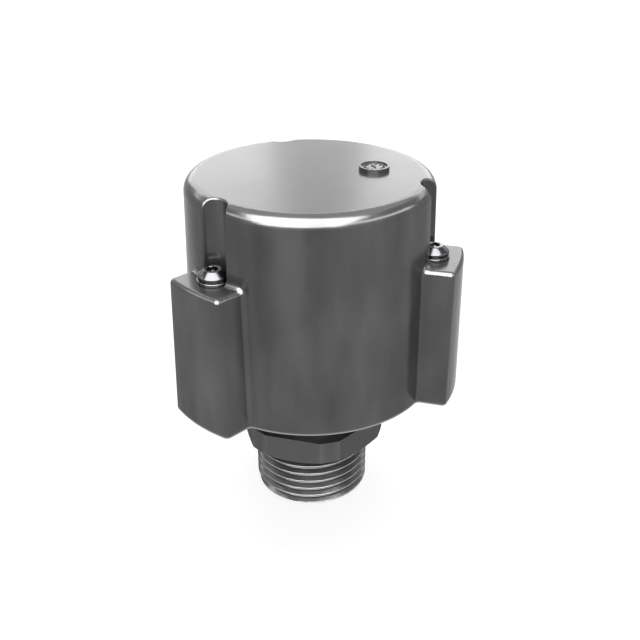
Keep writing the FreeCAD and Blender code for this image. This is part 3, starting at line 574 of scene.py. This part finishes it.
def turned(rings: Sequence[Ring], segments: int, closed: bool, centre: Vector,
           mesh: bmesh.types.BMesh) -> None:
    """Add a turned shell to a mesh. A ring of radius 0 is one point.

    Args:
        rings: The rings, in order.
        segments: Points round a ring.
        closed: Whether the last ring joins the first.
        centre: Where the axis stands.
        mesh: The mesh that is added to.
    """
    loops: List[List[bmesh.types.BMVert]] = []
    for ring in rings:
        count = segments if ring.radius > 0 else 1
        loop = []
        for number in range(count):
            angle = 2 * math.pi * number / count
            radius = ring.radius * (1 + ring.lobes * math.cos(LOBE_COUNT * angle))
            point = Vector((radius * math.cos(angle), radius * math.sin(angle), ring.height))
            loop.append(mesh.verts.new(centre + point))
        loops.append(loop)
    pairs = list(zip(loops, loops[1:]))
    if closed:
        pairs.append((loops[-1], loops[0]))
    for lower, upper in pairs:
        for number in range(segments):
            following = (number + 1) % segments
            corners = [lower[number % len(lower)], lower[following % len(lower)],
                       upper[following % len(upper)], upper[number % len(upper)]]
            distinct = list(dict.fromkeys(corners))
            if len(distinct) > 2:
                mesh.faces.new(distinct)


def eased(rings: Sequence[Ring], radius: float, steps: int = 4) -> List[Ring]:
    """Round the inner corners of a profile.

    Args:
        rings: The profile; its first and last rings stay sharp.
        radius: The largest round, cut down where an edge is short.
        steps: Pieces of each round.

    Returns:
        The profile with its corners rounded.
    """
    result = [rings[0]]
    for before, corner, after in zip(rings, rings[1:], rings[2:]):
        here = Vector((corner.radius, corner.height))
        back = Vector((before.radius, before.height)) - here
        ahead = Vector((after.radius, after.height)) - here
        reach = min(radius, back.length * CORNER_SHARE, ahead.length * CORNER_SHARE)
        start = here + back.normalized() * reach
        end = here + ahead.normalized() * reach
        for step in range(steps + 1):
            share = step / steps
            point = start.lerp(here, share).lerp(here.lerp(end, share), share)
            result.append(Ring(point.x, point.y, corner.lobes))
    result.append(rings[-1])
    return result


def finish_piece(name: str, mesh: bmesh.types.BMesh, slot: Slot, body: Optional[Body], nodes: Sequence[str],
                 wardrobe: Wardrobe, sharp_degrees: float = 35.0) -> bpy.types.Object:
    """Turn a mesh into a dressed piece of the breather.

    Args:
        name: The piece's name.
        mesh: Its mesh, which is freed.
        slot: The record's material slot.
        body: The body it rides on, or None, which leaves it on no body.
        nodes: The nodes it stands for.
        wardrobe: Where its material comes from.
        sharp_degrees: Edges that turn more than this stay sharp.

    Returns:
        The new object.
    """
    bmesh.ops.remove_doubles(mesh, verts=mesh.verts, dist=WELD)
    bmesh.ops.dissolve_degenerate(mesh, edges=mesh.edges, dist=WELD)
    bmesh.ops.recalc_face_normals(mesh, faces=mesh.faces)
    mesh.normal_update()
    for face in mesh.faces:
        face.smooth = True
    for edge in mesh.edges:
        edge.smooth = edge.calc_face_angle(0.0) < math.radians(sharp_degrees)
    data = bpy.data.meshes.new(name)
    mesh.to_mesh(data)
    mesh.free()
    item = bpy.data.objects.new(name, data)
    bpy.context.scene.collection.objects.link(item)
    weighted = item.modifiers.new("even_normals", "WEIGHTED_NORMAL")
    weighted.keep_sharp = True
    weighted.mode = "FACE_AREA_WITH_ANGLE"
    wardrobe.dress(item, slot)
    if body:
        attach(item, body.value)
    if nodes:
        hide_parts(*nodes)
    LOG.info("%s: %d faces", name, len(data.polygons))
    return item


def copy_of_node(node: str) -> bmesh.types.BMesh:
    """Copy a node's shape and weld it.

    Args:
        node: The node.

    Returns:
        A new mesh.
    """
    mesh = bmesh.new()
    mesh.from_mesh(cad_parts[node].data)
    bmesh.ops.remove_doubles(mesh, verts=mesh.verts, dist=NODE_WELD)
    return mesh


# Sub-assemblies


@dataclass
class CastCover:
    """The bell-shaped cover with its generic date dial."""

    wardrobe: Wardrobe
    sharp_degrees: float = 30.0
    wall_slope: float = 0.5
    rim_round: float = 0.4 * MM
    rim_steps: int = 4
    rim_least: float = 27 * MM
    dial_places: int = 12
    figure_height: float = 0.78 * MM
    figure_circle: float = 2.05 * MM
    figure_relief: float = 0.22 * MM
    figure_steps: int = 3
    dial_recess: float = 0.3 * MM
    dial_centre: Vector = field(default_factory=lambda: Vector((13.697, -1.682, 0)) * MM)
    pointer_length: float = 1.9 * MM
    pointer_width: float = 0.42 * MM
    barb_share: float = 1.1

    def build(self) -> None:
        """Build the cover and its dial."""
        mesh = copy_of_node("cover")
        self._round_rim(mesh)
        finish_piece("cast_cover", mesh, Slot.CAST_METAL, Body.HOUSING, ["cover"], self.wardrobe,
                     self.sharp_degrees)
        self._build_dial()

    def _round_rim(self, mesh: bmesh.types.BMesh) -> None:
        """Round the outer edge of the cover's open end.

        Args:
            mesh: The cover's mesh.
        """
        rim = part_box("cover")[0].z
        mesh.normal_update()
        edges = []
        for edge in mesh.edges:
            walls = [face for face in edge.link_faces if abs(face.normal.z) < self.wall_slope]
            if len(walls) != 1 or max(abs(vert.co.z - rim) for vert in edge.verts) > LEVEL_SLACK:
                continue
            middle = (edge.verts[0].co + edge.verts[1].co) / 2
            faces_out = walls[0].normal.x * middle.x + walls[0].normal.y * middle.y > 0
            if faces_out and middle.xy.length > self.rim_least:
                edges.append(edge)
        bmesh.ops.bevel(mesh, geom=edges, offset=self.rim_round, segments=self.rim_steps, profile=0.5,
                        affect="EDGES", clamp_overlap=True)

    def _build_dial(self) -> None:
        """Build the raised figures and the pointer of the date dial."""
        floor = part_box("cover")[1].z - self.dial_recess
        mesh = bmesh.new()
        for number in range(self.dial_places):
            turn = -2 * math.pi * number / self.dial_places
            offset = Vector((-math.sin(turn), math.cos(turn), 0)) * self.figure_circle
            self._add_figure(mesh, str(number + 1), self.dial_centre + offset, turn, floor)
        self._add_pointer(mesh, floor)
        finish_piece("date_dial_figures", mesh, Slot.CAST_METAL, Body.HOUSING, [], self.wardrobe)

    def _add_figure(self, mesh: bmesh.types.BMesh, text: str, place: Vector, turn: float,
                    floor: float) -> None:
        """Add one raised figure.

        Args:
            mesh: The mesh that is added to.
            text: The figure.
            place: Its centre, in the plane of the dial.
            turn: Its turn about Z.
            floor: The height of the dial's face.
        """
        curve = bpy.data.curves.new("figure", "FONT")
        curve.body = text
        curve.size = self.figure_height
        curve.align_x = "CENTER"
        curve.align_y = "CENTER"
        curve.extrude = self.figure_relief / 2
        curve.resolution_u = self.figure_steps
        writer = bpy.data.objects.new("figure", curve)
        bpy.context.scene.collection.objects.link(writer)
        writer.location = (place.x, place.y, floor + self.figure_relief / 2)
        writer.rotation_euler = Euler((0, 0, turn))
        bpy.context.view_layer.update()
        shape = bpy.data.meshes.new_from_object(writer.evaluated_get(bpy.context.evaluated_depsgraph_get()))
        shape.transform(writer.matrix_world)
        mesh.from_mesh(shape)
        bpy.data.objects.remove(writer)
        bpy.data.curves.remove(curve)
        bpy.data.meshes.remove(shape)

    def _add_pointer(self, mesh: bmesh.types.BMesh, floor: float) -> None:
        """Add the raised arrow at the middle of the dial.

        Args:
            mesh: The mesh that is added to.
            floor: The height of the dial's face.
        """
        half = self.pointer_width / 2
        reach = self.pointer_length / 2
        barb = self.pointer_width * self.barb_share
        outline = [(-half / 2, -reach), (half / 2, -reach), (half / 2, reach - barb), (barb, reach - barb),
                   (0, reach), (-barb, reach - barb), (-half / 2, reach - barb)]
        loops = []
        for height in (floor, floor + self.figure_relief):
            loops.append([mesh.verts.new(self.dial_centre + Vector((x, y, height))) for x, y in outline])
        mesh.faces.new(loops[0])
        mesh.faces.new(loops[1])
        for number in range(len(outline)):
            following = (number + 1) % len(outline)
            mesh.faces.new([loops[0][number], loops[0][following], loops[1][following], loops[1][number]])


@dataclass
class CoverScrews:
    """The three cover screws with six-lobe sockets and centre pins, each on its washer."""

    wardrobe: Wardrobe
    count: int = 3
    segments: int = 96
    edge_round: float = 0.18 * MM
    washer_round: float = 0.16 * MM
    washer_margin: float = 0.18 * MM
    washer_play: float = 0.2 * MM
    head_band: float = 0.9 * MM
    head_top_radius: float = 1.85 * MM
    socket_radius: float = 1.18 * MM
    socket_lobes: float = 0.13
    socket_depth: float = 1.3 * MM
    land_share: float = 1.1
    mouth_share: float = 1.06
    mouth_top: float = 0.02 * MM
    mouth_depth: float = 0.12 * MM
    pin_radius: float = 0.42 * MM
    pin_drop: float = 0.35 * MM
    pin_bevel: float = 0.08 * MM
    pin_tip_share: float = 0.8
    shank_radius: float = 2.0 * MM

    def build(self) -> None:
        """Build every screw and washer."""
        for number in range(1, self.count + 1):
            self._build_washer(number)
            self._build_screw(number)

    def _build_washer(self, number: int) -> None:
        """Build one washer.

        Args:
            number: Which one, from 1.
        """
        node = "cover_washer_%d" % number
        low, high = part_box(node)
        centre = (low + high) / 2
        outer = (high.x - low.x) / 2 + self.washer_margin
        bore = self.shank_radius + self.washer_play
        profile = [Ring(bore, low.z), Ring(outer, low.z), Ring(outer, high.z), Ring(bore, high.z)]
        mesh = bmesh.new()
        turned(eased(profile, self.washer_round), self.segments, True, Vector((centre.x, centre.y, 0)), mesh)
        finish_piece("washer_%d" % number, mesh, Slot.WASHER_STEEL, Body.HOUSING, [node], self.wardrobe)

    def _build_screw(self, number: int) -> None:
        """Build one screw.

        Args:
            number: Which one, from 1.
        """
        node = "cover_screw_%d" % number
        low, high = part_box(node)
        washer_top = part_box("cover_washer_%d" % number)[1].z
        centre = (low + high) / 2
        outer = (high.x - low.x) / 2 + self.washer_margin
        band_top = washer_top + self.head_band
        floor = high.z - self.socket_depth
        pin_top = high.z - self.pin_drop
        lobes = self.socket_lobes
        head = eased([Ring(self.shank_radius, washer_top), Ring(outer, washer_top), Ring(outer, band_top),
                      Ring(self.head_top_radius, high.z),
                      Ring(self.socket_radius * self.land_share, high.z)], self.edge_round)
        socket = [Ring(self.socket_radius * self.mouth_share, high.z - self.mouth_top, lobes),
                  Ring(self.socket_radius, high.z - self.mouth_depth, lobes),
                  Ring(self.socket_radius, floor, lobes), Ring(self.pin_radius, floor),
                  Ring(self.pin_radius, pin_top - self.pin_bevel),
                  Ring(self.pin_radius * self.pin_tip_share, pin_top), Ring(0, pin_top)]
        rings = [Ring(0, low.z), Ring(self.shank_radius, low.z)] + head + socket
        mesh = bmesh.new()
        turned(rings, self.segments, False, Vector((centre.x, centre.y, 0)), mesh)
        finish_piece("screw_%d" % number, mesh, Slot.SCREW_STEEL, Body.HOUSING, [node], self.wardrobe)


@dataclass
class ThreadedAdapter:
    """The nipple with its helical thread, and the hexagon, neck, collar and spigot above it."""

    wardrobe: Wardrobe
    sharp_degrees: float = 28.0
    thread_radius: float = 13.49 * MM
    pitch: float = 25.4 / 12 * MM
    thread_top: float = 13.65 * MM
    chamfer: float = 0.5 * MM
    bore_radius: float = 7.5 * MM
    body_low: float = 13.6 * MM
    columns: int = 120
    crest_share: float = 0.13
    root_share: float = 0.13
    depth_share: float = 0.56
    ridge_round: float = 0.14 * MM
    ridge_steps: int = 3
    start_share: float = 0.52
    spare_turns: int = 2

    def build(self) -> None:
        """Build the adapter as one piece."""
        mesh = self._upper_body()
        self._add_nipple(mesh)
        finish_piece("adapter", mesh, Slot.TURNED_METAL, Body.HOUSING, ["threaded_adapter"],
                     self.wardrobe, self.sharp_degrees)

    def _upper_body(self) -> bmesh.types.BMesh:
        """Return the node's shape above the thread, closed by a level face."""
        mesh = copy_of_node("threaded_adapter")
        parts = list(mesh.verts) + list(mesh.edges) + list(mesh.faces)
        cut = bmesh.ops.bisect_plane(mesh, geom=parts, plane_co=Vector((0, 0, self.body_low)),
                                     plane_no=Vector((0, 0, 1)), clear_inner=True)
        edges = [part for part in cut["geom_cut"] if isinstance(part, bmesh.types.BMEdge)]
        bmesh.ops.triangle_fill(mesh, edges=edges, use_beauty=True, normal=Vector((0, 0, -1)))
        return mesh

    def _thread_profile(self) -> List[Tuple[float, float]]:
        """Draw one pitch of the thread.

        Returns:
            Pairs of a share of the pitch and a radius.
        """
        root = self.thread_radius - self.depth_share * self.pitch
        crest = self.crest_share * self.pitch / 2
        hollow = self.root_share * self.pitch / 2
        middle = self.pitch / 2
        corners = [Ring(self.thread_radius, 0.0), Ring(self.thread_radius, crest),
                   Ring(root, middle - hollow), Ring(root, middle + hollow),
                   Ring(self.thread_radius, self.pitch - crest), Ring(self.thread_radius, self.pitch)]
        rings = eased(corners, self.ridge_round, self.ridge_steps)[:-1]
        return [(ring.height / self.pitch, ring.radius) for ring in rings]

    @staticmethod
    def _radius_at(profile: List[Tuple[float, float]], place: float) -> float:
        """Return the thread's radius at a place along it.

        Args:
            profile: One pitch of the thread.
            place: The place in pitches.

        Returns:
            The radius in metres.
        """
        share = place % 1.0
        points = profile + [(1.0, profile[0][1])]
        for (low, start), (high, end) in zip(points, points[1:]):
            if low <= share <= high and high > low:
                return start + (end - start) * (share - low) / (high - low)
        return profile[0][1]

    def _end_radius(self, height: float) -> float:
        """Return the radius that the chamfered end allows.

        Args:
            height: The height on the nipple.

        Returns:
            The radius in metres.
        """
        return self.thread_radius - max(self.chamfer - height, 0)

    def _add_nipple(self, mesh: bmesh.types.BMesh) -> None:
        """Add the threaded wall of the nipple, closed through its bore.

        Args:
            mesh: The mesh that is added to.
        """
        profile = self._thread_profile()
        turns = math.ceil(self.thread_top / self.pitch) + self.spare_turns
        rows = [turn + share for turn in range(-1, turns) for share, _ in profile]
        grid: List[List[bmesh.types.BMVert]] = []
        for place in rows:
            line = []
            for column in range(self.columns + 1):
                share = column / self.columns
                angle = 2 * math.pi * share
                start = share - 1 - self.start_share
                height = min(max((place + start) * self.pitch, 0.0), self.thread_top)
                reach = min(self._radius_at(profile, height / self.pitch - start), self._end_radius(height))
                line.append(mesh.verts.new((reach * math.cos(angle), reach * math.sin(angle), height)))
            grid.append(line)
        for lower, upper in zip(grid, grid[1:]):
            for column in range(self.columns):
                mesh.faces.new([lower[column], lower[column + 1], upper[column + 1], upper[column]])
        self._close_nipple(mesh, grid[0], grid[-1])

    def _close_nipple(self, mesh: bmesh.types.BMesh, low: List[bmesh.types.BMVert],
                      high: List[bmesh.types.BMVert]) -> None:
        """Join the ends of the threaded wall through the bore.

        Args:
            mesh: The mesh that is added to.
            low: The lowest line of the wall.
            high: The highest line of the wall.
        """
        bore = []
        for height in (0.0, self.thread_top):
            bore.append([mesh.verts.new((self.bore_radius * math.cos(2 * math.pi * column / self.columns),
                                         self.bore_radius * math.sin(2 * math.pi * column / self.columns),
                                         height)) for column in range(self.columns + 1)])
        for first, second in ((low, bore[0]), (bore[0], bore[1]), (bore[1], high)):
            for column in range(self.columns):
                mesh.faces.new([first[column], first[column + 1], second[column + 1], second[column]])


@dataclass
class ValveSprings:
    """The two valve springs, each copied from its node and left on no body; in the breather each is squeezed
    between the parts that hold its ends.
    """

    wardrobe: Wardrobe
    end_coil: float = 0.6 * MM
    sharp_degrees: float = 60.0

    def build(self) -> None:
        """Build both springs."""
        self._build_spring("pressure_spring")
        self._build_spring("vacuum_spring")

    def _build_spring(self, node: str) -> None:
        """Build one spring.

        Args:
            node: The node it stands for.
        """
        item = finish_piece(node + "_wire", copy_of_node(node), Slot.SPRING_STEEL, None, [node],
                            self.wardrobe, self.sharp_degrees)
        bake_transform(item)


@dataclass
class CarriedNodes:
    """Nodes whose own shape stays, each given the finish of its slot."""

    wardrobe: Wardrobe
    slots: Dict[str, Slot] = field(default_factory=lambda: {
        "base_casting": Slot.BASE_METAL,
        "adapter_o_ring": Slot.SEAL_RUBBER,
        "lock_nut": Slot.PLATED_STEEL,
        "valve_cage": Slot.CAGE_METAL,
        "valve_seat": Slot.SEAT_BRASS,
        "pressure_poppet": Slot.POPPET_METAL,
        "pressure_seal": Slot.SEAL_RUBBER,
        "vacuum_valve": Slot.VACUUM_BRASS,
        "vacuum_seal": Slot.SEAL_RUBBER,
        "spring_keeper": Slot.SPRING_STEEL,
        "keeper_clip": Slot.SPRING_STEEL,
        "spring_adjuster": Slot.PLATED_STEEL,
        "lower_gasket": Slot.GASKET_RUBBER,
        "upper_gasket": Slot.GASKET_RUBBER,
        "lower_end_cap": Slot.ELEMENT_STEEL,
        "upper_end_cap": Slot.ELEMENT_STEEL,
        "filter_core": Slot.ELEMENT_STEEL,
        "filter_media": Slot.FILTER_PAPER,
        "splash_baffle": Slot.PLATED_STEEL,
    })

    def build(self) -> None:
        """Dress every carried-over node."""
        for node, slot in self.slots.items():
            self.wardrobe.dress(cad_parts[node], slot)
            LOG.info("%s: %s", node, slot.value)


# Studio


@dataclass(frozen=True)
class Softbox:
    """A rectangular lamp that faces the breather."""

    name: str
    azimuth: float
    elevation: float
    distance: float
    width: float
    height: float
    radiance: float
    shine_only: bool = True

    def build(self, aim: Vector, view_azimuth: float) -> None:
        """Place the lamp.

        Args:
            aim: The point it faces.
            view_azimuth: The camera's azimuth in degrees, from which the lamp's is counted.
        """
        lamp = bpy.data.lights.new(self.name, "AREA")
        lamp.shape = "RECTANGLE"
        lamp.size = self.width
        lamp.size_y = self.height
        lamp.energy = self.radiance * math.pi * self.width * self.height
        item = bpy.data.objects.new(self.name, lamp)
        bpy.context.scene.collection.objects.link(item)
        turn = math.radians(view_azimuth + self.azimuth)
        lift = math.radians(self.elevation)
        towards = Vector((math.sin(turn) * math.cos(lift), -math.cos(turn) * math.cos(lift), math.sin(lift)))
        item.location = aim + towards * self.distance
        item.rotation_euler = towards.to_track_quat("Z", "Y").to_euler()
        item.visible_diffuse = not self.shine_only


@dataclass
class Studio:
    """Floor, world, lamps and camera."""

    view_azimuth: float = -15.0
    view_elevation: float = 28.0
    eye: Vector = field(default_factory=lambda: Vector((-43.67, -171.09, 136.87)) * MM)
    focal_pixels: float = 865.0
    frame_pixels: float = 640.0
    sensor: float = 36.0
    clip_start: float = 0.005
    clip_end: float = 50.0
    floor_half: float = 3.0
    floor_drop: float = 0.02 * MM
    floor_tone: Colour = (0.38, 0.38, 0.38)
    floor_roughness: float = 0.9
    floor_lift: float = 0.8
    fill: float = 0.6
    aim: Vector = field(default_factory=lambda: Vector((0, 0, 45)) * MM)
    lamps: Tuple[Softbox, ...] = (
        Softbox("overhead_softbox", 180.0, 68.0, 1.3, 1.8, 1.1, 1.75, False),
        Softbox("front_softbox", -9.0, 50.0, 1.0, 1.6, 1.45, 20.0),
        Softbox("back_softbox", 180.0, 18.0, 1.0, 0.14, 0.43, 1.9),
        Softbox("back_left_softbox", 197.0, 18.0, 1.0, 0.44, 0.43, 5.0),
        Softbox("back_right_softbox", 163.0, 18.0, 1.0, 0.44, 0.43, 5.2),
        Softbox("back_strip", 180.0, 35.0, 1.0, 2.6, 0.1, 9.0),
        Softbox("right_strip", 68.0, 26.0, 1.0, 1.3, 0.2, 9.0),
        Softbox("left_strip", -80.0, 34.0, 1.0, 0.9, 0.16, 8.0),
    )

    def build(self) -> None:
        """Build the whole studio."""
        self._build_floor()
        self._build_world()
        for lamp in self.lamps:
            lamp.build(self.aim, self.view_azimuth)
        self._build_camera()
        bpy.context.scene.view_settings.view_transform = "Standard"

    def _build_floor(self) -> None:
        """Build the pale floor, a little lifted where it is seen directly."""
        half = self.floor_half
        data = bpy.data.meshes.new("floor")
        data.from_pydata([(-half, -half, 0), (half, -half, 0), (half, half, 0), (-half, half, 0)], [],
                         [(0, 1, 2, 3)])
        floor = bpy.data.objects.new("floor", data)
        floor.location.z = -self.floor_drop
        bpy.context.scene.collection.objects.link(floor)
        shader = Shader("floor_card")
        shader.set(Base_Color=self.floor_tone, Roughness=self.floor_roughness,
                   Emission_Color=(1.0, 1.0, 1.0), Emission_Strength=self.floor_lift, Specular_IOR_Level=0.0)
        white = shader.node("ShaderNodeEmission", {}, {"Color": (1.0, 1.0, 1.0), "Strength": 1.0})
        card = Wire(shader, shader.surface.outputs[0])
        mixed = shader.node("ShaderNodeMixShader", {}, {0: shader.mirrored(), 1: card, 2: white})
        output = shader.tree.nodes["Material Output"]
        shader.plug(output.inputs["Surface"], mixed)
        data.materials.append(shader.material)

    def _build_world(self) -> None:
        """Build the world: white where it is seen directly, and an even fill elsewhere."""
        world = bpy.data.worlds.new("studio_world")
        world.use_nodes = True
        bpy.context.scene.world = world
        graph = Graph(world.node_tree)
        background = graph.tree.nodes["Background"]
        graph.plug(background.inputs["Color"], (1.0, 1.0, 1.0))
        graph.plug(background.inputs["Strength"], graph.seen_directly() * (1 - self.fill) + self.fill)

    def _build_camera(self) -> None:
        """Build the camera at the photograph's place."""
        data = bpy.data.cameras.new("camera")
        data.sensor_width = self.sensor
        data.lens = self.focal_pixels / self.frame_pixels * self.sensor
        data.clip_start = self.clip_start
        data.clip_end = self.clip_end
        camera = bpy.data.objects.new("camera", data)
        camera.location = self.eye
        camera.rotation_euler = Euler((math.radians(90 - self.view_elevation), 0,
                                       math.radians(self.view_azimuth)))
        bpy.context.scene.collection.objects.link(camera)
        bpy.context.scene.camera = camera


def main() -> None:
    """Build the breather and its studio."""
    logging.basicConfig(level=logging.INFO, format="%(name)s: %(message)s")
    wardrobe = Wardrobe()
    CastCover(wardrobe).build()
    CoverScrews(wardrobe).build()
    ThreadedAdapter(wardrobe).build()
    ValveSprings(wardrobe).build()
    CarriedNodes(wardrobe).build()
    Studio().build()


if __name__ == "__main__":
    main()
